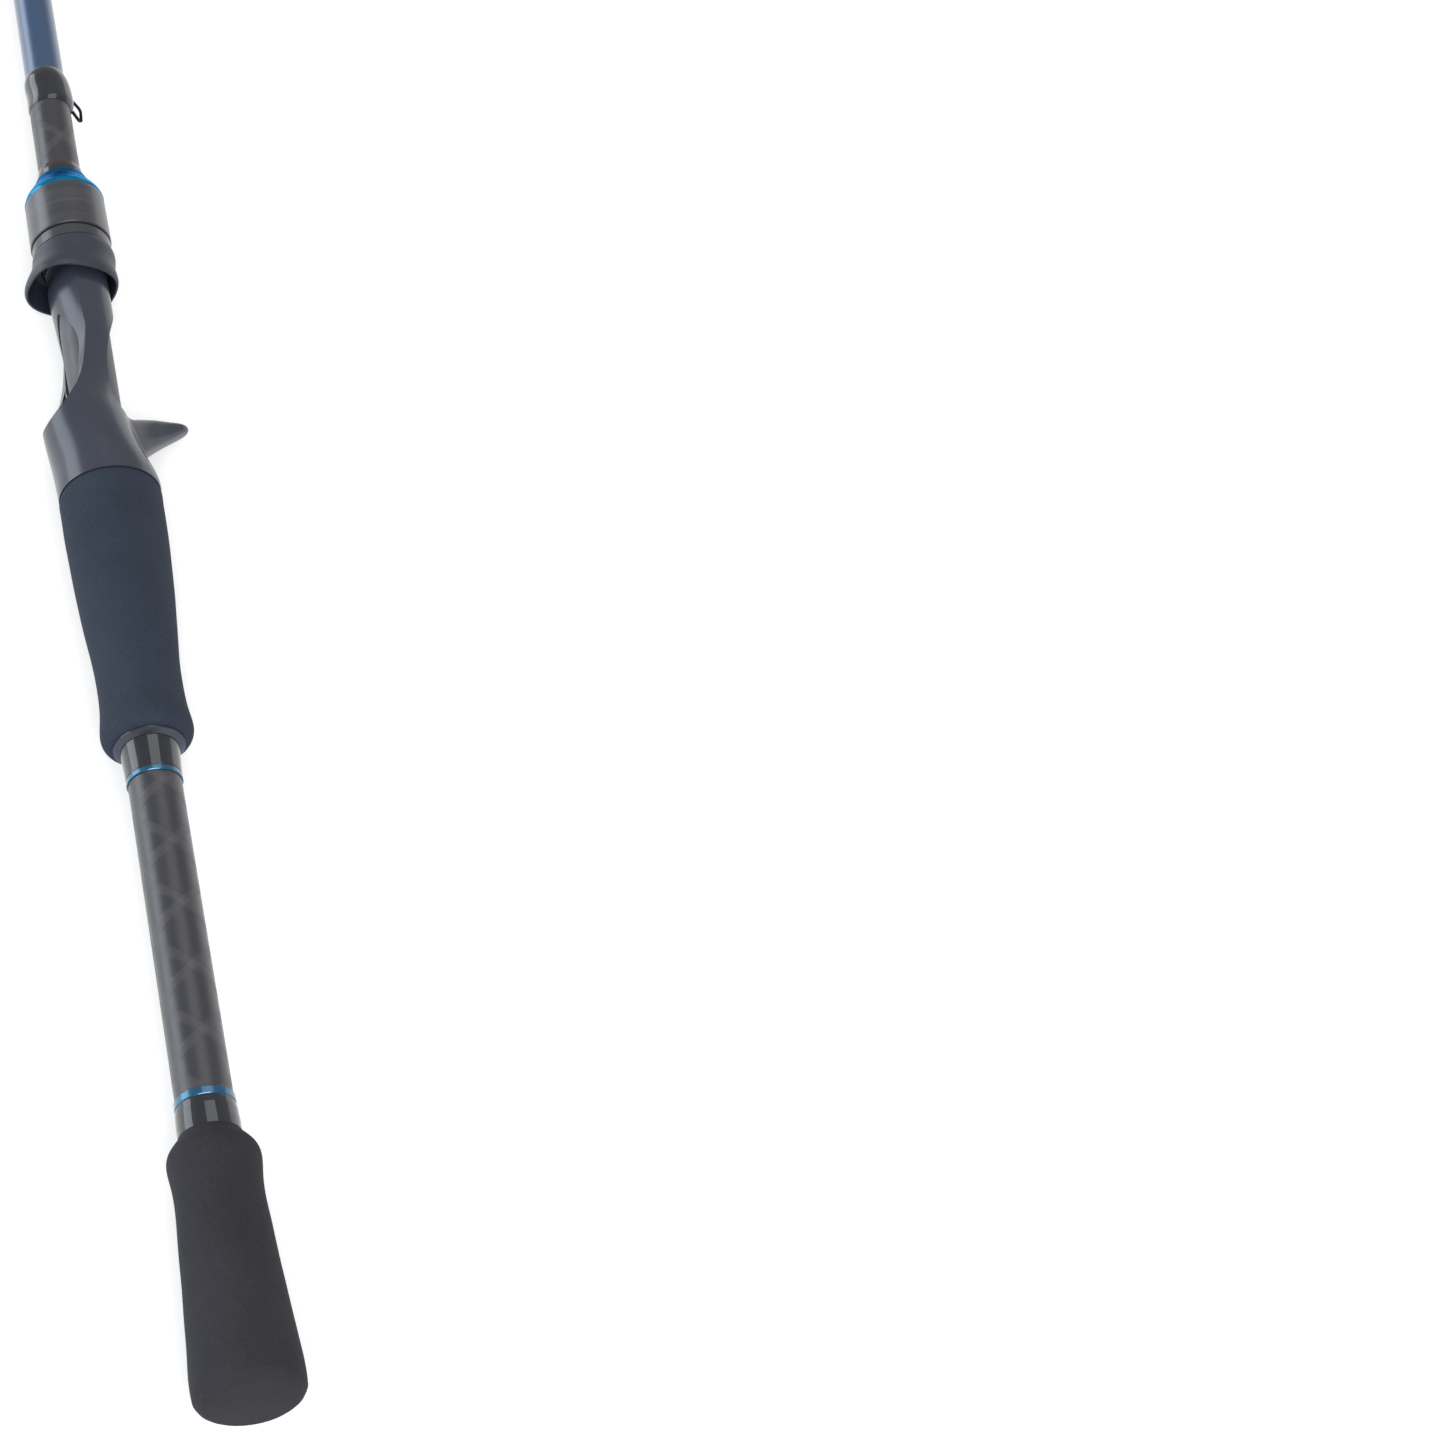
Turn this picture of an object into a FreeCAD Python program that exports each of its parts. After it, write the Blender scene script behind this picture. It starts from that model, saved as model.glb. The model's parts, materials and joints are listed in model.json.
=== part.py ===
import FreeCAD, Part
import math
import os
from types import SimpleNamespace

import Sketcher

# A one-piece casting rod with a split handle, modelled as it lies on a flat surface.
# The rod's axis is the Y axis, with the flat butt face at Y = 0 and the tip towards +Y.
# Z is up. The trigger leans down to the surface on the +X side, so everything that is not
# round about the axis is drawn with its trigger side along +X and its reel side along -X,
# and is then turned about the axis by the rest angle. All sizes are millimetres.

Vector = FreeCAD.Vector
ALONG = Vector(0, 1, 0)

SIZES = {
    # whole rod
    "rod_length": 1830.0,
    "rest_angle": 27.0,
    "glue_gap": 0.05,
    "running_gap": 0.3,
    # blank: outside radius at the butt, handle, keeper and tip
    "blank_start": 5.0,
    "blank_butt_radius": 6.65,
    "blank_split_end": 160.0,
    "blank_split_radius": 6.13,
    "blank_keeper_start": 357.0,
    "blank_keeper_radius": 5.16,
    "blank_tip_radius": 0.95,
    "blank_wall_butt": 1.1,
    "blank_wall_tip": 0.45,
    "tape_thickness": 0.2,
    "tape_end": 384.0,
    # butt grip and the trim in front of it
    "butt_grip_length": 65.0,
    "butt_grip_radius": 12.5,
    "butt_edge_rounding": 2.4,
    "lower_wrap_end": 72.4,
    "lower_wrap_radius": 7.2,
    "band_width": 1.9,
    "lower_band_radius": 6.98,
    "upper_band_start": 160.0,
    "upper_band_width": 1.3,
    "upper_band_radius": 6.68,
    # fore grip and its winding check
    "check_start": 169.6,
    "check_width": 1.6,
    "check_radius": 8.56,
    "fore_grip_start": 171.2,
    "fore_grip_end": 246.0,
    "fore_grip_radius": 12.6,
    # reel seat
    "core_radius": 6.2,
    "core_start": 248.0,
    "core_end": 344.4,
    "pocket_start": 263.0,
    "pocket_roof": 13.0,
    "barrel_start": 320.0,
    "thread_radius": 8.2,
    "thread_depth": 0.6,
    "thread_pitch": 2.0,
    "trigger_reach": 23.9,
    "trigger_fillet": 3.5,
    # sliding hood, spacer ring and locking nut
    "hood_start": 313.0,
    "hood_end": 324.2,
    "hood_radius": 10.25,
    "hood_pocket_depth": 8.0,
    "spacer_end": 328.0,
    "spacer_radius": 10.0,
    "turning_gap": 0.25,
    "nut_end": 342.6,
    "nut_radius": 10.2,
    "nut_wall": 0.8,
    "trim_end": 350.0,
    "trim_bore_radius": 6.4,
    # collar wrap, hook keeper and its wrap
    "collar_end": 354.2,
    "collar_radius": 6.0,
    "collar_trim_width": 0.7,
    "keeper_wrap_start": 376.0,
    "keeper_wrap_end": 388.0,
    "keeper_wrap_radius": 5.95,
    "keeper_wire_radius": 0.42,
    "keeper_reach": 8.9,
    # line guides
    "guide_wall": 0.8,
    "guide_band": 1.4,
    "ring_thickness": 1.5,
    "foot_width": 1.8,
    "foot_thickness": 0.8,
    "tip_tube_length": 11.0,
    "tip_tube_wall": 0.3,
    "tip_ring_radius": 2.7,
    "tip_ring_bore": 1.9,
    "tip_ring_height": 4.2,
}

# line guides from the reel to the tip: name, distance from the tip, height of the ring's
# centre above the rod's axis, ring outside radius, ring bore radius, foot length
GUIDES = [
    ("stripper", 985.0, 14.0, 5.0, 3.5, 12.0),
    ("guide_2", 765.0, 11.6, 4.0, 2.75, 10.0),
    ("guide_3", 585.0, 9.6, 3.5, 2.3, 9.0),
    ("guide_4", 435.0, 8.2, 3.0, 2.1, 8.5),
    ("guide_5", 305.0, 7.1, 2.75, 1.9, 8.0),
    ("guide_6", 190.0, 6.4, 2.75, 1.9, 8.0),
    ("guide_7", 90.0, 5.8, 2.75, 1.9, 7.5),
]

doc = FreeCAD.newDocument("CastingRod")
sheet = doc.addObject("Spreadsheet::Sheet", "Sizes")
for row, (alias, number) in enumerate(SIZES.items(), start=1):
    sheet.set(f"A{row}", alias)
    sheet.set(f"B{row}", str(number))
    sheet.setAlias(f"B{row}", alias)
doc.recompute()

sub_parts = []


class Dim:
    """A length that carries its number and the sheet expression that drives it."""

    def __init__(self, value, text=None):
        self.value = value
        self.text = text or str(value)

    def __add__(self, other):
        other = as_dim(other)
        return Dim(self.value + other.value, f"({self.text} + {other.text})")

    def __sub__(self, other):
        other = as_dim(other)
        return Dim(self.value - other.value, f"({self.text} - {other.text})")

    def __mul__(self, other):
        other = as_dim(other)
        return Dim(self.value * other.value, f"({self.text} * {other.text})")


def as_dim(length):
    return length if isinstance(length, Dim) else Dim(length)


size = SimpleNamespace(**{alias: sheet.get(alias) for alias in SIZES})
dim = SimpleNamespace(**{alias: Dim(sheet.get(alias), "Sizes." + alias) for alias in SIZES})
turn_to_rest = FreeCAD.Placement(Vector(), FreeCAD.Rotation(ALONG, size.rest_angle))


def blank_radius(along):
    """Outside radius of the blank at a distance from the butt, straight between its stations."""
    stations = [
        (dim.blank_start, dim.blank_butt_radius),
        (dim.blank_split_end, dim.blank_split_radius),
        (dim.blank_keeper_start, dim.blank_keeper_radius),
        (dim.rod_length, dim.blank_tip_radius),
    ]
    along = as_dim(along)
    for (start, start_radius), (end, end_radius) in zip(stations, stations[1:]):
        if along.value <= end.value:
            break
    share = (along.value - start.value) / (end.value - start.value)
    return start_radius + (end_radius - start_radius) * share


def tape_radius(along):
    return blank_radius(along) + dim.tape_thickness


# ---------------------------------------------------------------- building helpers


def origin_plane(body, role):
    return next(item for item in body.Origin.OriginFeatures if item.Role == role)


def fix_point(sketch, index, dimension, length):
    """Tie the start of a line to the sheet, or to a sketch axis when its distance is zero."""
    if length.value == 0:
        axis = -2 if dimension == "DistanceX" else -1
        sketch.addConstraint(Sketcher.Constraint("PointOnObject", index, 1, axis))
        return
    rule = sketch.addConstraint(Sketcher.Constraint(dimension, -1, 1, index, 1, length.value))
    sketch.setExpression(f"Constraints[{rule}]", length.text)


def turned(name, outline):
    """A body turned about the rod's axis from a closed outline of (along, radius) points."""
    body = doc.addObject("PartDesign::Body", name)
    body.Label = name
    sketch = body.newObject("Sketcher::SketchObject", name + "_outline")
    sketch.AttachmentSupport = [(origin_plane(body, "XY_Plane"), "")]
    sketch.MapMode = "FlatFace"
    outline = [(as_dim(along), as_dim(radius)) for along, radius in outline]
    corners = [Vector(radius.value, along.value, 0) for along, radius in outline]
    count = len(corners)
    for index in range(count):
        sketch.addGeometry(Part.LineSegment(corners[index], corners[(index + 1) % count]))
    for index in range(count):
        sketch.addConstraint(Sketcher.Constraint("Coincident", index, 2, (index + 1) % count, 1))
    for index, (along, radius) in enumerate(outline):
        fix_point(sketch, index, "DistanceX", radius)
        fix_point(sketch, index, "DistanceY", along)
    turn = body.newObject("PartDesign::Revolution", name + "_turn")
    turn.Profile = sketch
    turn.ReferenceAxis = (sketch, ["V_Axis"])
    turn.Angle = 360
    body.Placement = turn_to_rest
    sub_parts.append(body)
    return body


def shaped(name, shape):
    """A sub-part whose shape comes from surfaces that a sketch cannot hold."""
    feature = doc.addObject("Part::Feature", name)
    feature.Label = name
    feature.Shape = shape
    feature.Placement = turn_to_rest
    sub_parts.append(feature)
    return feature


def spun(outside, inside):
    """A round solid: a smooth curve through (along, radius) points, closed by a straight bore."""
    curve = Part.BSplineCurve()
    curve.interpolate([Vector(radius, along, 0) for along, radius in outside])
    corners = [curve.EndPoint]
    corners += [Vector(radius, along, 0) for along, radius in inside]
    corners += [curve.StartPoint]
    face = Part.Face(Part.Wire([curve.toShape()] + Part.makePolygon(corners).Edges))
    return face.revolve(Vector(), ALONG, 360)


def cone(start, end, start_radius, end_radius):
    """A solid cone about the rod's axis, or a cylinder when both radii are equal."""
    if abs(start_radius - end_radius) < 1e-6:
        return Part.makeCylinder(start_radius, end - start, Vector(0, start, 0), ALONG)
    return Part.makeCone(start_radius, end_radius, end - start, Vector(0, start, 0), ALONG)


def blank_core(start, end, extra=0.0):
    """The space that the blank fills between two stations, on one straight taper."""
    return cone(start, end, blank_radius(start).value + extra, blank_radius(end).value + extra)


def oval(along, offset, half_width, half_depth, squareness=2.0):
    """A closed smooth outline across the axis, moved to the reel side by its offset."""
    points = []
    for step in range(24):
        angle = math.tau * step / 24
        across = math.copysign(abs(math.cos(angle)) ** (2 / squareness), math.cos(angle))
        upward = math.copysign(abs(math.sin(angle)) ** (2 / squareness), math.sin(angle))
        points.append(Vector(across * half_width - offset, along, upward * half_depth))
    curve = Part.BSplineCurve()
    curve.interpolate(points, PeriodicFlag=True)
    return Part.Wire([curve.toShape()])


def side_cutter(points, half_depth):
    """A slab whose side view is a smooth curve through the first points and straight after."""
    smooth, straight = points
    curve = Part.BSplineCurve()
    curve.interpolate([Vector(across, along, -half_depth) for across, along in smooth])
    corners = [curve.EndPoint]
    corners += [Vector(across, along, -half_depth) for across, along in straight]
    corners += [curve.StartPoint]
    face = Part.Face(Part.Wire([curve.toShape()] + Part.makePolygon(corners).Edges))
    return face.extrude(Vector(0, 0, 2 * half_depth))


# ---------------------------------------------------------------- blank and handle trim


def make_blank():
    end = dim.rod_length - 4.0
    outline = [
        (dim.blank_start, dim.blank_butt_radius),
        (dim.blank_split_end, dim.blank_split_radius),
        (dim.blank_keeper_start, dim.blank_keeper_radius),
        (end, blank_radius(end)),
        (end, blank_radius(end) - dim.blank_wall_tip),
        (dim.blank_keeper_start, dim.blank_keeper_radius - dim.blank_wall_butt * 0.8),
        (dim.blank_start, dim.blank_butt_radius - dim.blank_wall_butt),
    ]
    turned("blank", outline)


def make_tape():
    """The crossed carbon tape that covers the butt half of the handle's blank."""
    stations = [dim.blank_start, dim.blank_split_end, dim.blank_keeper_start, dim.tape_end]
    outline = [(along, tape_radius(along)) for along in stations]
    outline += [(along, blank_radius(along)) for along in reversed(stations)]
    turned("carbon_tape", outline)


def make_band(name, start, width, radius):
    inner = tape_radius(start) + dim.glue_gap
    end = start + width
    outline = [
        (start, inner),
        (start, radius - 0.12),
        (start + 0.15, radius),
        (end - 0.15, radius),
        (end, radius - 0.12),
        (end, inner),
    ]
    turned(name, outline)


def make_handle_wraps():
    grip_end = dim.butt_grip_length
    lower_inner = tape_radius(grip_end) + dim.glue_gap
    lower = [
        (grip_end, lower_inner),
        (grip_end, dim.lower_wrap_radius),
        (grip_end + 2.6, dim.lower_wrap_radius - 0.02),
        (grip_end + 5.4, dim.lower_wrap_radius - 0.12),
        (dim.lower_wrap_end - 0.4, dim.lower_band_radius - 0.04),
        (dim.lower_wrap_end, dim.lower_band_radius - 0.16),
        (dim.lower_wrap_end, lower_inner),
    ]
    turned("lower_wrap", lower)
    start = dim.upper_band_start + dim.upper_band_width
    end = dim.check_start
    upper_inner = tape_radius(dim.upper_band_start) + dim.glue_gap
    upper = [
        (start, upper_inner),
        (start, dim.upper_band_radius - 0.16),
        (start + 0.5, dim.upper_band_radius - 0.02),
        (start + 3.0, dim.upper_band_radius + 0.08),
        (start + 6.0, dim.upper_band_radius + 0.24),
        (end, dim.upper_band_radius + 0.36),
        (end, upper_inner),
    ]
    turned("upper_wrap", upper)
    make_band("lower_band", dim.lower_wrap_end, dim.band_width, dim.lower_band_radius)
    make_band("upper_band", dim.upper_band_start, dim.upper_band_width, dim.upper_band_radius)


def make_winding_check():
    """The dished ring that hides the end of the fore grip's bore."""
    start = dim.check_start
    end = start + dim.check_width
    inner = tape_radius(start) + dim.glue_gap
    outline = [
        (start, inner),
        (start, inner + 0.35),
        (start + 0.5, dim.check_radius - 0.7),
        (start + 0.9, dim.check_radius),
        (end - 0.1, dim.check_radius),
        (end, dim.check_radius - 0.15),
        (end, inner),
    ]
    turned("winding_check", outline)


def make_grips():
    grip = size.butt_grip_length
    radius = size.butt_grip_radius
    edge = size.butt_edge_rounding
    bore = tape_radius(size.blank_start).value + size.glue_gap
    outside = [
        (edge, radius - 0.12),
        (7.0, radius),
        (13.0, radius - 0.4),
        (21.0, radius - 0.92),
        (29.0, radius - 1.45),
        (37.0, radius - 1.87),
        (43.0, radius - 2.2),
        (49.0, radius - 2.5),
        (53.0, radius - 2.4),
        (56.2, radius - 2.08),
        (58.8, radius - 1.95),
        (60.4, radius - 2.25),
        (61.7, radius - 2.95),
        (62.8, radius - 3.8),
        (63.8, radius - 4.6),
        (grip - 0.4, radius - 5.1),
        (grip, radius - 5.3),
    ]
    inside = [
        (grip, bore),
        (size.blank_start - 0.2, bore),
        (size.blank_start - 0.2, 0.0),
        (0.0, 0.0),
        (0.0, radius - edge),
        (0.25, radius - 1.9),
        (1.0, radius - 0.95),
        (1.9, radius - 0.4),
    ]
    shaped("butt_grip", spun(outside, inside))

    start = size.fore_grip_start
    end = size.fore_grip_end
    radius = size.fore_grip_radius
    bore = tape_radius(start).value + size.glue_gap
    outside = [
        (start, radius - 3.9),
        (start + 0.7, radius - 2.7),
        (start + 2.2, radius - 1.75),
        (start + 4.8, radius - 1.6),
        (start + 7.8, radius - 2.0),
        (start + 11.8, radius - 2.36),
        (start + 16.0, radius - 2.47),
        (start + 21.8, radius - 2.4),
        (start + 27.8, radius - 2.0),
        (start + 35.8, radius - 1.36),
        (start + 45.8, radius - 0.73),
        (start + 55.8, radius - 0.31),
        (start + 65.8, radius - 0.06),
        (end - 2.5, radius),
        (end - 0.8, radius - 0.12),
        (end, radius - 0.6),
    ]
    shaped("fore_grip", spun(outside, [(end, bore), (start, bore)]))


# ---------------------------------------------------------------- reel seat

# the seat's skin from the fore grip to the barrel:
# station, offset to the reel side, half width, half depth, squareness
SEAT_SKIN = [
    (246.0, 0.0, 12.5, 12.5, 2.0),
    (251.5, 0.6, 12.2, 12.2, 2.0),
    (257.0, 1.95, 11.3, 11.7, 2.0),
    (262.5, 3.0, 11.0, 11.0, 2.0),
    (268.0, 3.7, 10.75, 10.1, 2.05),
    (273.5, 3.8, 10.2, 9.0, 2.15),
    (279.0, 3.0, 9.6, 8.3, 2.25),
    (284.5, 1.8, 8.85, 7.9, 2.4),
    (290.0, 1.05, 8.45, 7.7, 2.5),
]

# the deck that the reel's foot rests on, a low arch that dips where the core shows through:
# station, arch radius, height over the rod's axis
DECK = [
    (250.0, 14.0, 6.8),
    (264.0, 14.0, 6.8),
    (274.0, 14.0, 6.75),
    (281.0, 14.0, 6.4),
    (287.0, 14.0, 5.75),
    (293.0, 14.0, 5.4),
    (298.0, 13.0, 5.9),
    (303.0, 11.5, 6.55),
    (308.0, 10.5, 7.1),
    (314.0, 10.5, 7.4),
    (322.0, 10.5, 7.5),
]

# the trigger from its root to its tip: reach, rear and front edges, thickness
TRIGGER = [
    (3.0, 254.0, 270.0, 14.0),
    (7.5, 258.0, 270.3, 11.0),
    (11.5, 261.4, 271.5, 8.4),
    (15.5, 264.8, 272.4, 6.6),
    (19.5, 267.9, 272.8, 5.3),
    (22.7, 270.3, 272.8, 4.1),
    (23.9, 271.2, 272.4, 2.2),
]


def seat_skin():
    """A smooth loft from the fore grip to the deck, then a straight run to the barrel."""
    flared = Part.makeLoft([oval(*station) for station in SEAT_SKIN], True, False)
    front = SEAT_SKIN[-1]
    straight = Part.Face(oval(*front)).extrude(Vector(0, size.barrel_start - front[0], 0))
    return flared.fuse(straight)


def trigger_horn():
    """The finger trigger, a smooth horn of rounded sections across its own reach."""
    sections = []
    for reach, rear, front, thickness in TRIGGER:
        section = oval(0.0, 0.0, (front - rear) / 2, thickness / 2, 3.0)
        section.rotate(Vector(), Vector(0, 0, 1), 90)
        section.translate(Vector(reach * size.trigger_reach / TRIGGER[-1][0], (front + rear) / 2, 0))
        sections.append(section)
    return Part.makeLoft(sections, True, False)


def blended_body():
    """The skin and the trigger as one, with a fillet round the trigger's root."""
    skin = seat_skin()
    joined = skin.fuse(trigger_horn()).removeSplitter()
    root = [edge for edge in joined.Edges if is_trigger_root(edge, skin)]
    return joined.makeFillet(size.trigger_fillet, root)


def is_trigger_root(edge, skin):
    """Whether an edge runs where the trigger leaves the skin."""
    middle = edge.valueAt((edge.FirstParameter + edge.LastParameter) / 2)
    beside_trigger = TRIGGER[0][1] < middle.y < TRIGGER[1][2] + 3.0 and middle.x > TRIGGER[0][0]
    return beside_trigger and skin.Shells[0].distToShape(Part.Vertex(middle))[0] < 0.01


def deck_core():
    """The solid under the deck's surface, as if it were not cut off at the sides."""
    arches = []
    for station, radius, height in DECK:
        centre = Vector(radius - height, station, 0)
        arches.append(Part.Wire([Part.makeCircle(radius, centre, ALONG)]))
    return Part.makeLoft(arches, True, False)


def foot_space():
    """The open space over the deck, ending at the fixed hood's slanted mouth."""
    mouth = [(-3.0, 299.0), (-3.4, 294.0), (-4.2, 288.6), (-5.45, 282.8), (-7.2, 277.3),
             (-9.1, 273.4), (-11.1, 270.0), (-13.4, 266.9), (-16.0, 264.0)]
    beyond = [(-22.0, 262.0), (-22.0, 320.0), (-3.0, 320.0)]
    return side_cutter((mouth, beyond), 20.0).cut(deck_core())


def fixed_pocket():
    """The pocket under the fixed hood that takes one end of the reel's foot."""
    offset = 3.9
    half_width = size.pocket_roof - offset
    hollow = Part.makeLoft([
        oval(size.pocket_start, offset, half_width, 8.3),
        oval(267.0, offset, half_width, 7.9),
        oval(272.0, offset, half_width, 6.9),
        oval(284.0, offset, half_width, 5.0),
    ], True, True)
    return hollow.cut(deck_core())


def finger_window():
    """The opening in front of the trigger that bares the core for the index finger."""
    edge = [
        (9.4, 313.0),
        (7.8, 308.5),
        (6.6, 303.5),
        (5.3, 299.5),
        (3.8, 295.5),
        (2.25, 290.5),
        (1.25, 285.5),
        (0.7, 279.7),
        (0.8, 274.3),
        (2.1, 270.0),
        (5.5, 268.2),
        (9.0, 269.9),
    ]
    return side_cutter((edge, [(12.0, 272.5)]), 12.0)


def deck_window():
    """The drop-shaped window in the deck that bares the core, pointed towards the sliding hood."""
    rim = [(278.6, 1.8), (281.0, 3.1), (285.0, 4.2), (289.5, 4.85), (294.0, 4.7), (298.5, 3.5), (301.8, 1.7)]
    apex = 304.0
    low = -2.0
    points = [Vector(low, along, half) for along, half in rim]
    points.append(Vector(low, apex, 0))
    points += [Vector(low, along, -half) for along, half in reversed(rim)]
    curve = Part.BSplineCurve()
    curve.interpolate(points, PeriodicFlag=True)
    face = Part.Face(Part.Wire([curve.toShape()]))
    return face.extrude(Vector(-10.0, 0, 0))


def threaded_barrel():
    """The barrel for the nut, with its thread drawn as rings one pitch apart."""
    start = size.barrel_start
    root = size.thread_radius - size.thread_depth
    corners = [Vector(size.core_radius, start - 1.0, 0), Vector(root, start - 1.0, 0)]
    along = start + 0.5
    while along + size.thread_pitch < size.core_end:
        for step, radius in ((0.0, root), (0.5, size.thread_radius), (0.9, size.thread_radius), (1.4, root)):
            corners.append(Vector(radius, along + step, 0))
        along += size.thread_pitch
    corners += [Vector(root, size.core_end, 0), Vector(size.core_radius, size.core_end, 0)]
    face = Part.Face(Part.makePolygon(corners + corners[:1]))
    return face.revolve(Vector(), ALONG, 360)


def make_reel_seat():
    bore_radius = size.core_radius
    seat = blended_body()
    seat = seat.cut(foot_space()).cut(fixed_pocket()).cut(finger_window()).cut(deck_window())
    seat = seat.cut(cone(240.0, 320.0, bore_radius, bore_radius))
    seat = seat.fuse(threaded_barrel()).removeSplitter()
    shaped("reel_seat", seat)
    core = [
        (dim.core_start, tape_radius(dim.core_start) + dim.glue_gap),
        (dim.core_start, dim.core_radius - 0.05),
        (dim.core_end, dim.core_radius - 0.05),
        (dim.core_end, tape_radius(dim.core_end) + dim.glue_gap),
    ]
    turned("seat_core", core)


# ---------------------------------------------------------------- hood and locking nut


def make_hood():
    start = size.hood_start
    end = size.hood_end
    round_end = size.hood_radius
    skin = [
        (start, 1.65, 11.25, 10.1, 2.6),
        (start + 0.6, 1.65, 11.45, 10.3, 2.6),
        (start + 3.6, 1.3, 11.15, 10.35, 2.4),
        (start + 7.2, 0.4, 10.6, 10.3, 2.1),
        (end, 0.0, round_end, round_end, 2.0),
    ]
    hood = Part.makeLoft([oval(*station) for station in skin], True, False)
    bore = size.thread_radius + size.running_gap
    hood = hood.cut(cone(start - 1.0, end + 1.0, bore, bore))
    offset = 1.65
    pocket_end = start + size.hood_pocket_depth
    pocket = Part.makeLoft([
        oval(start - 0.5, offset, 10.95, 9.75, 2.6),
        oval(start + 1.5, offset, 10.5, 9.35, 2.6),
        oval(pocket_end, offset - 1.15, 9.55, 8.9, 2.3),
    ], True, True)
    shaped("hood", hood.cut(pocket))


def make_nut():
    bore = dim.thread_radius + dim.running_gap
    start = dim.spacer_end
    end = dim.nut_end
    nut_start = start + dim.turning_gap
    turned("spacer_ring", [
        (dim.hood_end, bore),
        (dim.hood_end, dim.spacer_radius - 0.35),
        (dim.hood_end + 0.35, dim.spacer_radius - 0.35),
        (dim.hood_end + 0.5, dim.spacer_radius),
        (start - 0.5, dim.spacer_radius),
        (start - 0.35, dim.spacer_radius - 0.3),
        (start, dim.spacer_radius - 0.3),
        (start, bore),
    ])
    sleeve_inner = dim.nut_radius - dim.nut_wall
    turned("nut_thread_insert", [
        (nut_start, bore),
        (nut_start, sleeve_inner),
        (end, sleeve_inner),
        (end, bore),
    ])
    turned("nut_sleeve", [
        (nut_start, sleeve_inner),
        (nut_start, dim.nut_radius - 0.1),
        (nut_start + 0.3, dim.nut_radius + 0.1),
        (end - 1.0, dim.nut_radius - 0.02),
        (end, dim.nut_radius - 0.12),
        (end, sleeve_inner),
    ])
    middle = end + 2.6
    turned("trim_ring", [
        (end, bore),
        (end, dim.nut_radius - 0.3),
        (end + 0.5, dim.nut_radius - 0.02),
        (end + 1.6, dim.nut_radius - 0.35),
        (middle, dim.nut_radius - 0.95),
        (middle, bore),
    ])
    turned("trim_cone", [
        (middle, dim.trim_bore_radius + 1.2),
        (middle, dim.nut_radius - 1.15),
        (middle + 0.3, dim.nut_radius - 1.1),
        (middle + 1.8, dim.nut_radius - 2.0),
        (middle + 3.4, dim.nut_radius - 3.1),
        (dim.trim_end, dim.trim_bore_radius + 0.35),
        (dim.trim_end, dim.trim_bore_radius),
        (dim.trim_end - 2.0, dim.trim_bore_radius),
    ])


# ---------------------------------------------------------------- collar and hook keeper


def make_collar():
    start = dim.core_end + 1.0
    end = dim.collar_end
    trim = end - dim.collar_trim_width
    inner = tape_radius(start) + dim.glue_gap
    turned("collar_wrap", [
        (start, inner),
        (start, dim.collar_radius - 0.1),
        (start + 0.6, dim.collar_radius),
        (start + 5.0, dim.collar_radius),
        (start + 7.0, dim.collar_radius - 0.14),
        (trim, dim.collar_radius - 0.34),
        (trim, inner),
    ])
    turned("collar_trim", [
        (trim, inner),
        (trim, dim.collar_radius - 0.34),
        (end - 0.2, dim.collar_radius - 0.4),
        (end, dim.collar_radius - 0.5),
        (end, inner),
    ])


def keeper_wire():
    """A bent wire: it leaves the wrap, runs out to a pointed bend and comes back to the blank."""
    lift = size.keeper_wire_radius + 0.1
    root = size.keeper_wrap_start + 9.7
    seat = tape_radius(root).value + lift
    reach = size.keeper_reach
    stations = [
        Vector(seat, root, 0),
        Vector(seat + 0.3, root - 2.6, 0),
        Vector(reach - 1.6, root - 4.2, 0),
        Vector(reach, root - 6.4, 0),
        Vector(reach - 0.3, root - 10.4, 0),
        Vector(reach - 0.9, root - 10.5, 0),
        Vector(seat + 0.05, root - 6.4, 0),
    ]
    return tube_along(stations, size.keeper_wire_radius)


def tube_along(stations, radius):
    """A wire of straight runs joined by tangent arcs, swept as one solid."""
    edges = []
    start = stations[0]
    for before, corner, after in zip(stations, stations[1:], stations[2:]):
        back = (before - corner).normalize()
        ahead = (after - corner).normalize()
        shorter = min((before - corner).Length, (after - corner).Length)
        trim = 0.45 * shorter
        entry = corner + back * trim
        leave = corner + ahead * trim
        half_turn = (math.pi - back.getAngle(ahead)) / 2
        arc_radius = trim / math.tan(half_turn)
        towards = (back + ahead).normalize()
        middle = corner + towards * (arc_radius / math.cos(half_turn) - arc_radius)
        edges.append(Part.LineSegment(start, entry).toShape())
        edges.append(Part.Arc(entry, middle, leave).toShape())
        start = leave
    edges.append(Part.LineSegment(start, stations[-1]).toShape())
    path = Part.Wire(edges)
    heading = (stations[1] - stations[0]).normalize()
    profile = Part.Wire([Part.makeCircle(radius, stations[0], heading)])
    return path.makePipeShell([profile], True, False)


def make_keeper():
    wire = keeper_wire()
    shaped("keeper_wire", wire)
    start = size.keeper_wrap_start
    end = size.keeper_wrap_end
    radius = size.keeper_wrap_radius
    tail = blank_radius(end).value + 0.06
    skin = [
        (start, -0.05, tail + 0.22, tail + 0.2),
        (start + 1.4, -0.35, radius - 0.1, radius - 0.15),
        (start + 3.8, -0.55, radius + 0.05, radius - 0.05),
        (start + 7.0, -0.4, radius, radius - 0.05),
        (end - 2.2, -0.1, radius - 0.2, radius - 0.2),
        (end, 0.0, tail, tail),
    ]
    wrap = Part.makeLoft([oval(*station) for station in skin], True, False)
    wrap = wrap.cut(blank_core(start - 1.0, size.tape_end, size.tape_thickness + size.glue_gap))
    wrap = wrap.cut(blank_core(size.tape_end - 0.1, end + 1.0, 0.02))
    shaped("keeper_wrap", wrap.cut(wire))


# ---------------------------------------------------------------- line guides


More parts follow.
